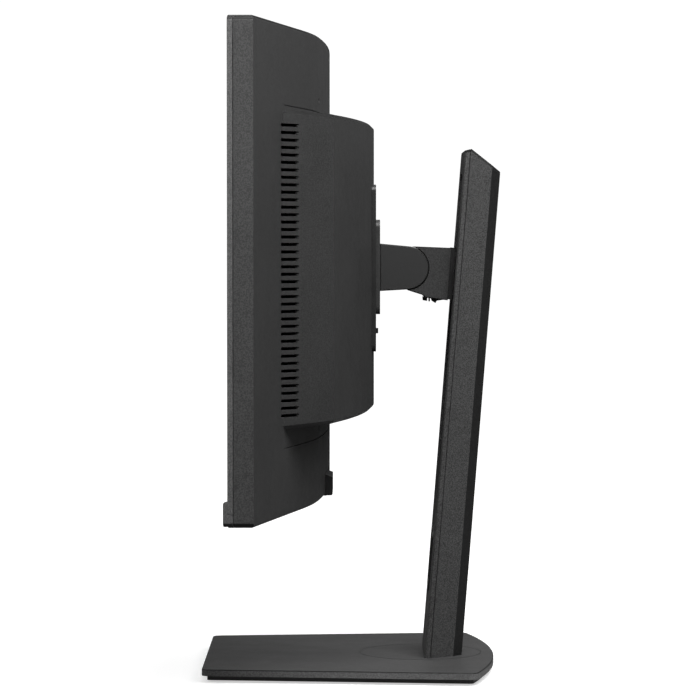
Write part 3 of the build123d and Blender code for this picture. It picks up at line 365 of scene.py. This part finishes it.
# ---------------------------------------------------------------------------
# Finishes
# ---------------------------------------------------------------------------
@dataclass(frozen=True)
class MouldedPlastic:
    """Plastic from a spark-eroded mould, with polished chamfers.

    The faces have fine pits, a speckle and faint clouding. Roundings and chamfers, which the mould
    leaves smooth, are glossier and darkened as painted shade; rear faces can take painted shade and a side
    band painted light.
    """

    name: str
    level: float = 0.047
    tint: float = 0.0
    roughness: float = 0.52
    gloss: float = 0.36
    shine: float = 0.2
    grain_scale: float = 1500.0
    grain_depth: float = 0.00012
    grain_strength: float = 0.35
    speckle: float = 0.55
    speckle_scale: float = 1150.0
    clouding: float = 0.1
    # The next four fields paint shade into chamfers and rear faces, and light into the side band.
    chamfer_painted_shade: float = 0.12
    rear_painted_shade: float = 1.0
    rear_shade_from: float = 0.70
    side_band_painted_light: float = 1.0

    def build(self) -> bpy.types.Material:
        """Make the material."""
        graph = Graph(self.name)
        clouds = graph.noise(26.0, 3.0)
        pits = graph.cells(self.grain_scale)
        speck = graph.noise(self.speckle_scale, 1.0, 0.5).span(0.32, 0.68)
        relief = (pits * 0.6 + speck * 0.4).clamp()
        _, back, up = graph.facing()
        tilt = abs(up)
        # smooth marks roundings and chamfers: they turn glossier and lose their grain, and their colour is
        # darkened as painted shade.
        smooth = tilt.span(0.10, 0.30) * (1 - tilt.span(0.985, 0.998))
        share = (1 - smooth) * (1 - self.chamfer_painted_shade) + self.chamfer_painted_shade
        # Faces turned to the rear are darkened as painted shade.
        if self.rear_painted_shade < 1.0:
            rear = back.span(self.rear_shade_from, self.rear_shade_from + 0.1)
            share = share * (1 - rear * (1 - self.rear_painted_shade))
        # Side faces are lightened as painted light.
        if self.side_band_painted_light > 1.0:
            band = 1 - tilt.span(0.05, 0.2)
            share = share * (1 + band * (self.side_band_painted_light - 1))
        vary = (speck - 0.5) * self.speckle + (clouds - 0.5) * (2 * self.clouding) + 1
        shade = share * vary * (self.level / self.top_level)
        bright = grey(self.top_level, self.tint)
        return graph.surface({
            "Specular IOR Level": self.shine,
            "Base Color": graph.blend(shade.clamp(), grey(0.0), bright),
            "Roughness": clouds.span(0.3, 0.7, self.roughness - 0.04, self.roughness + 0.05)
            - smooth * (self.roughness - self.gloss),
            "Normal": graph.bump(relief * (1 - smooth), self.grain_strength, self.grain_depth),
        })

    @property
    def top_level(self) -> float:
        """Brightest base colour that any part of the finish reaches."""
        return 2.0 * self.level * max(1.0, self.side_band_painted_light)


@dataclass(frozen=True)
class PlainPlastic:
    """Smooth moulded plastic with faint flow marks."""

    name: str
    level: float = 0.01
    roughness: float = 0.42
    tint: float = 0.0

    def build(self) -> bpy.types.Material:
        """Make the material."""
        graph = Graph(self.name)
        flow = graph.noise(60.0, 3.0, 0.55, graph.stretched((1.0, 1.0, 0.35)))
        fine = graph.noise(2600.0, 1.0)
        return graph.surface({
            "Base Color": graph.blend(
                flow, grey(self.level * 0.9, self.tint), grey(self.level * 1.12, self.tint)
            ),
            "Roughness": flow.span(0.3, 0.7, self.roughness - 0.05, self.roughness + 0.06),
            "Normal": graph.bump(fine, 0.12, 0.00004),
        })


@dataclass(frozen=True)
class PaintedMetal:
    """Powder-coated metal: orange-peel relief over a dark coat."""

    name: str
    level: float = 0.016
    roughness: float = 0.45
    peel_scale: float = 700.0

    def build(self) -> bpy.types.Material:
        """Make the material."""
        graph = Graph(self.name)
        peel = graph.noise(self.peel_scale, 2.0, 0.5)
        clouds = graph.noise(20.0, 2.0)
        return graph.surface({
            "Base Color": graph.blend(clouds, grey(self.level * 0.92), grey(self.level * 1.1)),
            "Roughness": peel.span(0.3, 0.7, self.roughness - 0.05, self.roughness + 0.08),
            "Metallic": 0.0,
            "Normal": graph.bump(peel, 0.25, 0.00012),
        })


@dataclass(frozen=True)
class BareMetal:
    """Rolled or drawn metal with brushed streaks."""

    name: str
    level: float = 0.5
    roughness: float = 0.32
    streak: tuple = (30.0, 900.0, 900.0)

    def build(self) -> bpy.types.Material:
        """Make the material."""
        graph = Graph(self.name)
        streaks = graph.noise(1.0, 3.0, 0.6, graph.stretched(self.streak))
        spangle = graph.cells(120.0)
        return graph.surface({
            "Base Color": graph.blend(
                spangle.span(0.1, 0.9), grey(self.level * 1.05), grey(self.level * 0.82)
            ),
            "Roughness": streaks.span(0.25, 0.75, self.roughness - 0.08, self.roughness + 0.14),
            "Metallic": 1.0,
            "Normal": graph.bump(streaks, 0.15, 0.00005),
        })


@dataclass(frozen=True)
class PanelGlass:
    """The screen's anti-glare face when it is off."""

    name: str
    level: float = 0.006
    roughness: float = 0.34

    def build(self) -> bpy.types.Material:
        """Make the material."""
        graph = Graph(self.name)
        sparkle = graph.noise(5200.0, 1.0, 0.5)
        haze = graph.noise(9.0, 2.0)
        return graph.surface({
            "Base Color": graph.blend(haze, grey(self.level, 0.10), grey(self.level * 1.35, 0.14)),
            "Roughness": sparkle.span(0.3, 0.7, self.roughness - 0.03, self.roughness + 0.04),
            "Normal": graph.bump(sparkle, 0.08, 0.00002),
        })


@dataclass(frozen=True)
class BoardMask:
    """Green solder mask with the copper's pattern faintly raised under it."""

    name: str

    def build(self) -> bpy.types.Material:
        """Make the material."""
        graph = Graph(self.name)
        tracks = graph.cells(260.0, graph.stretched((1.0, 1.0, 0.4))).span(0.2, 0.5)
        return graph.surface({
            "Base Color": graph.blend(tracks, (0.008, 0.07, 0.028, 1.0), (0.014, 0.12, 0.045, 1.0)),
            "Roughness": tracks.span(0.0, 1.0, 0.3, 0.42),
            "Normal": graph.bump(tracks, 0.3, 0.00006),
        })


@dataclass(frozen=True)
class SoftRubber:
    """Matt rubber with a dusty bloom."""

    name: str
    level: float = 0.014

    def build(self) -> bpy.types.Material:
        """Make the material."""
        graph = Graph(self.name)
        bloom = graph.noise(300.0, 3.0, 0.6)
        return graph.surface({
            "Base Color": graph.blend(bloom.span(0.35, 0.8), grey(self.level), grey(self.level * 1.9)),
            "Roughness": bloom.span(0.3, 0.7, 0.72, 0.9),
            "Normal": graph.bump(bloom, 0.3, 0.0001),
        })


class Finish(Enum):
    """Every finish on the monitor, by its use."""

    # COVER, BOX and STAND darken their rear faces as painted shade; every moulded finish darkens its
    # chamfers as painted shade.
    COVER = MouldedPlastic("cover_plastic", level=0.056, rear_painted_shade=0.4, rear_shade_from=0.04)
    BOX = MouldedPlastic("box_plastic", level=0.029, rear_painted_shade=0.8, rear_shade_from=0.3)
    STRIP = MouldedPlastic("strip_plastic", level=0.1, roughness=0.45)
    STAND = MouldedPlastic("stand_plastic", level=0.048, rear_painted_shade=0.22, speckle=0.9)
    NECK = MouldedPlastic("neck_plastic", level=0.027)
    # BASE lightens its side band as painted light.
    BASE = MouldedPlastic("base_plastic", level=0.05, roughness=0.47, side_band_painted_light=2.4)
    BLACK = PlainPlastic("black_plastic", level=0.006)
    CLEAR_MILK = PlainPlastic("milky_plastic", level=0.75, roughness=0.3)
    ACETAL = PlainPlastic("acetal", level=0.62, roughness=0.38)
    COAT = PaintedMetal("powder_coat")
    CASTING = PaintedMetal("painted_casting", level=0.012, peel_scale=1100.0)
    EDGE_COAT = PaintedMetal("edge_coat", level=0.045)
    STEEL = BareMetal("galvanised_steel")
    SPRING = BareMetal("spring_steel", level=0.38, roughness=0.26)
    ALUMINIUM = BareMetal("die_cast_aluminium", level=0.6, roughness=0.4)
    SCREEN = PanelGlass("screen_face")
    SURROUND = PanelGlass("screen_surround", level=0.0035, roughness=0.3)
    BOARD = BoardMask("solder_mask")
    RUBBER = SoftRubber("foot_rubber")


class Palette:
    """Builds each finish once and hands out its material."""

    def __init__(self) -> None:
        """Start with nothing built."""
        self._made: dict[Finish, bpy.types.Material] = {}

    def __getitem__(self, finish: Finish) -> bpy.types.Material:
        """The finish's material."""
        if finish not in self._made:
            self._made[finish] = finish.value.build()
        return self._made[finish]


# ---------------------------------------------------------------------------
# Mesh helpers
# ---------------------------------------------------------------------------
@dataclass
class Shape:
    """A mesh being built, with the steps that several sub-assemblies share."""

    name: str
    mesh: bmesh.types.BMesh = field(default_factory=bmesh.new)

    def strip(self, rows: Sequence[Sequence[Vector]]) -> None:
        """Join rows of points with quads.

        Args:
            rows: rows of the same length.
        """
        made = [[self.mesh.verts.new(point) for point in row] for row in rows]
        for first, second in zip(made, made[1:]):
            for left, right, over, under in zip(first, first[1:], second[1:], second):
                self.mesh.faces.new((left, right, over, under))

    def ring(self, centre: Vector, inner: float, outer: float, sides: int = 96) -> None:
        """Add a flat level ring.

        Args:
            centre: its centre.
            inner: inner radius.
            outer: outer radius.
            sides: steps round it.
        """
        rows = []
        for radius in (inner, outer):
            turns = [math.tau * step / sides for step in range(sides + 1)]
            rows.append([centre + Vector((math.cos(turn), math.sin(turn), 0)) * radius for turn in turns])
        self.strip(rows)
        bmesh.ops.remove_doubles(self.mesh, verts=self.mesh.verts, dist=1e-6)

    def finish(self, material: bpy.types.Material, smooth: float = 35.0) -> bpy.types.Object:
        """Close the mesh and make the object.

        Args:
            material: its finish.
            smooth: edges sharper than this many degrees stay crisp.

        Returns:
            The object, in the shared frame.
        """
        bmesh.ops.recalc_face_normals(self.mesh, faces=self.mesh.faces)
        data = bpy.data.meshes.new(self.name)
        self.mesh.to_mesh(data)
        self.mesh.free()
        data.materials.append(material)
        data.shade_smooth()
        data.set_sharp_from_angle(angle=math.radians(smooth))
        made = bpy.data.objects.new(self.name, data)
        bpy.context.scene.collection.objects.link(made)
        return made


def settle(piece: bpy.types.Object, body: str, replaces: Iterable[str] = ()) -> bpy.types.Object:
    """Put a finished piece on its body.

    Args:
        piece: the object.
        body: the body it moves with.
        replaces: CAD nodes it stands for.

    Returns:
        The same object.
    """
    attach(piece, body)
    if replaces:
        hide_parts(*replaces)
    LOG.info("%s rides on %s", piece.name, body)
    return piece


@dataclass
class Assembly:
    """A group of CAD nodes and added pieces with their finishes."""

    frame: dict
    palette: Palette

    FINISHES = {}

    def dress(self) -> None:
        """Give every CAD node of the group its finish."""
        for finish, nodes in self.FINISHES.items():
            for name in nodes:
                self.coat(name, finish)

    def coat(self, name: str, finish: Finish) -> None:
        """Assign one CAD node's material.

        Args:
            name: the node.
            finish: its finish.
        """
        slots = self.frame["nodes"][name].material_slots
        for place in slots:
            place.link = "OBJECT"
            place.material = self.palette[finish]
        LOG.info("%s is %s", name, finish.name.lower())


# ---------------------------------------------------------------------------
# Display
# ---------------------------------------------------------------------------
@dataclass
class Screen(Assembly):
    """The panel stack and its frame."""

    FINISHES = {
        Finish.STRIP: ("front_frame", "bottom_bezel"),
        Finish.SURROUND: ("lcd_panel",),
        Finish.CLEAR_MILK: ("optical_films", "light_guide", "reflector_sheet", "panel_ribbon"),
        Finish.STEEL: ("panel_chassis",),
        Finish.ALUMINIUM: ("led_bar",),
        Finish.BOARD: ("timing_board",),
    }
    columns: int = 120
    rows: int = 12
    side_border: float = 0.0042
    top_border: float = 0.0066
    chin_reach: float = 0.0016
    relief: float = 0.0003

    def build(self) -> None:
        """Dress the stack and lay the picture area on the panel."""
        self.dress()
        self.picture()

    def picture(self) -> bpy.types.Object:
        """The lit area: a thin bent sheet just in front of the panel's black surround.

        Returns:
            The piece.
        """
        low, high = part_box("lcd_panel")
        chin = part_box("bottom_bezel")[1].z
        half = high.x - self.side_border
        bottom, top = chin + self.chin_reach, high.z - self.top_border
        radius = self.bend_radius(low, high)
        axis_y = self.front_middle(radius, low, high) - radius
        face = Shape("picture_area")
        across = [half * (2 * step / self.columns - 1) for step in range(self.columns + 1)]
        rings = []
        for step in range(self.rows + 1):
            z = bottom + (top - bottom) * step / self.rows
            out = self.relief if 0 < step < self.rows else 0.0
            rings.append([Vector((x, axis_y + math.sqrt((radius - out) ** 2 - x * x), z)) for x in across])
        face.strip(rings)
        piece = face.finish(self.palette[Finish.SCREEN])
        return settle(piece, "display")

    @staticmethod
    def bend_radius(low: Vector, high: Vector) -> float:
        """Radius of the panel's front, from its box.

        Args:
            low: the box's lowest corner.
            high: its highest corner.

        Returns:
            The radius.
        """
        thickness = 1.3 * MM
        sag = high.y - low.y - thickness
        return (high.x**2 + sag**2) / (2 * sag)

    @staticmethod
    def front_middle(radius: float, low: Vector, high: Vector) -> float:
        """Y of the panel's front on the middle line.

        Args:
            radius: the bend.
            low: the box's lowest corner.
            high: its highest corner.

        Returns:
            The place.
        """
        return low.y + radius - math.sqrt(radius**2 - high.x**2)


@dataclass
class Housing(Assembly):
    """Rear cover, electronics box, pad and control pod."""

    FINISHES = {
        Finish.COVER: ("rear_cover",),
        Finish.BOX: ("box_cover",),
        Finish.BLACK: (
            "mount_pad", "control_pod", "release_button",
            "menu_key_1", "menu_key_2", "menu_key_3", "menu_key_4", "power_key",
        ),
        Finish.COAT: ("display_screws",),
        Finish.BOARD: ("control_board",),
        Finish.SPRING: ("release_spring",),
    }

    def build(self) -> None:
        """Dress the covers."""
        self.dress()


@dataclass
class Electronics(Assembly):
    """Everything behind the covers, seen through the vents and the sockets' mouths."""

    FINISHES = {
        Finish.STEEL: ("board_bracket", "vesa_bracket", "video_and_usb_sockets", "usb_host_socket"),
        Finish.BOARD: ("main_board", "power_board"),
        Finish.ALUMINIUM: ("heat_sink",),
        Finish.BLACK: ("power_inlet", "audio_jack", "speakers"),
    }

    def build(self) -> None:
        """Dress the boards and sockets."""
        self.dress()


# ---------------------------------------------------------------------------
# Stand
# ---------------------------------------------------------------------------
@dataclass
class Neck(Assembly):
    """Quick-release plate, tilt arm and carriage."""

    FINISHES = {
        Finish.CASTING: ("arm_shell",),
        Finish.NECK: ("carriage_cover",),
        Finish.COAT: ("release_plate",),
        Finish.BLACK: ("neck_collar", "cable_clip"),
        Finish.STEEL: ("tilt_shaft", "carriage_bracket"),
        Finish.SPRING: ("friction_washers", "tilt_spring"),
        Finish.ACETAL: ("slide_shoes",),
    }

    def build(self) -> None:
        """Dress the neck."""
        self.dress()


@dataclass
class Column(Assembly):
    """The leaning column and what it holds."""

    FINISHES = {
        Finish.STAND: ("column_front", "column_back"),
        Finish.BLACK: ("cable_grommet",),
        Finish.STEEL: ("column_rail", "column_foot"),
        Finish.SPRING: ("column_bolts", "spring_rolls", "spring_strips", "spool_axle"),
    }

    def build(self) -> None:
        """Dress the column."""
        self.dress()


@dataclass
class Base(Assembly):
    """The base and its turning disc."""

    FINISHES = {
        Finish.BASE: ("base_cover", "swivel_disc"),
        Finish.EDGE_COAT: ("base_plate",),
        Finish.RUBBER: ("base_feet",),
        Finish.ACETAL: ("swivel_washer",),
        Finish.STEEL: ("swivel_retainer",),
        Finish.SPRING: ("thumb_screw", "base_screws"),
    }

    # Width, inner share and lift of the black ring that paints the gap's shadow.
    shadow_ring_half: float = 0.0006
    inner_share: float = 0.4
    lift: float = 0.00008

    def build(self) -> None:
        """Dress the base and lay a black ring, painted shadow, along the gap round its turning disc."""
        self.dress()
        self.paint_gap_shadow()

    def paint_gap_shadow(self) -> bpy.types.Object:
        """A black ring just above the base that paints the shadow in the gap between the disc and the base.

        Returns:
            The piece.
        """
        low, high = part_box("swivel_disc")
        radius = (high.x - low.x) / 2
        middle = (low + high) / 2
        line = Shape("disc_gap_painted_shadow")
        line.ring(
            Vector((middle.x, middle.y, high.z + self.lift)),
            radius - self.shadow_ring_half * self.inner_share,
            radius + self.shadow_ring_half,
        )
        return settle(line.finish(self.palette[Finish.BLACK]), "base")


# ---------------------------------------------------------------------------
# Studio
# ---------------------------------------------------------------------------
@dataclass(frozen=True)
class Softbox:
    """One square area light that looks at the monitor from a compass direction."""

    name: str
    azimuth: float
    elevation: float
    distance: float
    width: float
    level: float

    def build(self, target: Vector) -> None:
        """Make the light.

        Args:
            target: the point it faces.
        """
        light = bpy.data.lights.new(self.name, "AREA")
        light.shape = "SQUARE"
        light.size = self.width
        light.energy = self.level * math.pi * self.distance**2
        turn, rise = math.radians(self.azimuth), math.radians(self.elevation)
        way = Vector((math.cos(turn) * math.cos(rise), math.sin(turn) * math.cos(rise), math.sin(rise)))
        holder = bpy.data.objects.new(self.name, light)
        holder.location = target + way * self.distance
        holder.rotation_mode = "QUATERNION"
        holder.rotation_quaternion = (-way).to_track_quat("-Z", "Y")
        bpy.context.scene.collection.objects.link(holder)


@dataclass
class Studio:
    """White sweep, soft lights and the camera."""

    camera_place: tuple = (2.639, -0.0025, 0.3516)
    camera_pitch: float = 1.902
    lens: float = 162.28
    floor_radius: float = 12.0
    backdrop_level: float = 1.05
    horizon_level: float = 0.20
    zenith_level: float = 0.05
    floor_glow: float = 0.55
    floor_bounce: float = 0.16
    floor_drop: float = 0.0002
    glow_rise: tuple = (0.6, 2.6)
    aim: tuple = (0.0, 0.0, 0.28)
    lights: tuple = (
        Softbox("key_light", 20.0, 47.0, 1.15, 0.7, 5.3),
        Softbox("rear_light", 96.0, 46.0, 2.2, 1.3, 1.5),
        Softbox("front_light", -100.0, 40.0, 2.2, 1.3, 1.0),
        Softbox("far_light", 180.0, 62.0, 2.2, 1.1, 0.8),
    )

    def build(self) -> None:
        """Make the whole studio."""
        self.floor()
        self.sky()
        for light in self.lights:
            light.build(Vector(self.aim))
        self.camera()

    def floor(self) -> None:
        """A plain pale floor that throws little light back up."""
        graph = Graph("studio_floor")
        cloud = graph.noise(0.7, 2.0)
        pale = graph.node("ShaderNodeBsdfDiffuse", {}, {"Color": graph.blend(cloud, grey(0.72), grey(0.76))})
        dull = graph.node("ShaderNodeBsdfDiffuse", {}, {"Color": grey(self.floor_bounce)})
        length = graph.node("ShaderNodeVectorMath", {"operation": "LENGTH"}, {0: graph.place()})
        reach = Value(graph, length.outputs["Value"])
        shine = graph.blend(reach.span(*self.glow_rise), grey(self.floor_glow), grey(self.backdrop_level))
        glow = graph.node("ShaderNodeEmission", {}, {"Color": shine, "Strength": 1.0})
        lit = graph.node("ShaderNodeAddShader", {}, {0: pale.outputs[0], 1: glow.outputs[0]})
        seen = graph.node("ShaderNodeLightPath", {}, {}).outputs["Is Camera Ray"]
        both = graph.node("ShaderNodeMixShader", {}, {0: seen, 1: dull.outputs[0], 2: lit.outputs[0]})
        graph.node("ShaderNodeOutputMaterial", {}, {"Surface": both.outputs[0]})
        shape = Shape("studio_floor")
        bmesh.ops.create_circle(
            shape.mesh,
            cap_ends=True,
            segments=96,
            radius=self.floor_radius,
            matrix=Matrix.Translation((0, 0, -self.floor_drop)),
        )
        shape.finish(graph.material)

    def sky(self) -> None:
        """White backdrop, with dim surroundings for what the covers reflect."""
        world = bpy.data.worlds.new("studio")
        world.use_nodes = True
        graph = Graph.on_tree(world.node_tree)
        way = graph.node("ShaderNodeTexCoord", {}, {}).outputs["Generated"]
        rise = Value(graph, graph.node("ShaderNodeSeparateXYZ", {}, {"Vector": way}).outputs["Z"])
        horizon, zenith = grey(self.horizon_level), grey(self.zenith_level)
        shade = graph.blend(rise.span(0.0, 0.75), horizon, zenith)
        dim = graph.node("ShaderNodeBackground", {}, {"Color": shade, "Strength": 1.0})
        white = graph.node("ShaderNodeBackground", {}, {"Color": grey(1.0), "Strength": self.backdrop_level})
        seen = graph.node("ShaderNodeLightPath", {}, {}).outputs["Is Camera Ray"]
        both = graph.node("ShaderNodeMixShader", {}, {0: seen, 1: dim.outputs[0], 2: white.outputs[0]})
        graph.node("ShaderNodeOutputWorld", {}, {"Surface": both.outputs[0]})
        bpy.context.scene.world = world

    def camera(self) -> None:
        """The camera, far off and a little below the display's top."""
        data = bpy.data.cameras.new("camera")
        data.lens = self.lens
        data.sensor_width = 36.0
        data.clip_end = 60.0
        holder = bpy.data.objects.new("camera", data)
        holder.location = self.camera_place
        holder.rotation_euler = (math.radians(90 - self.camera_pitch), 0, math.radians(90))
        bpy.context.scene.collection.objects.link(holder)
        scene = bpy.context.scene
        scene.camera = holder
        scene.view_settings.view_transform = "Standard"
        scene.view_settings.look = "None"


def main() -> None:
    """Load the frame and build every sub-assembly."""
    logging.basicConfig(level=logging.INFO, format="%(name)s: %(message)s")
    bpy.ops.wm.read_factory_settings(use_empty=True)
    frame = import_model()
    palette = Palette()
    for assembly in (Screen, Housing, Electronics, Neck, Column, Base):
        assembly(frame, palette).build()
    Studio().build()


if __name__ == "__main__":
    main()
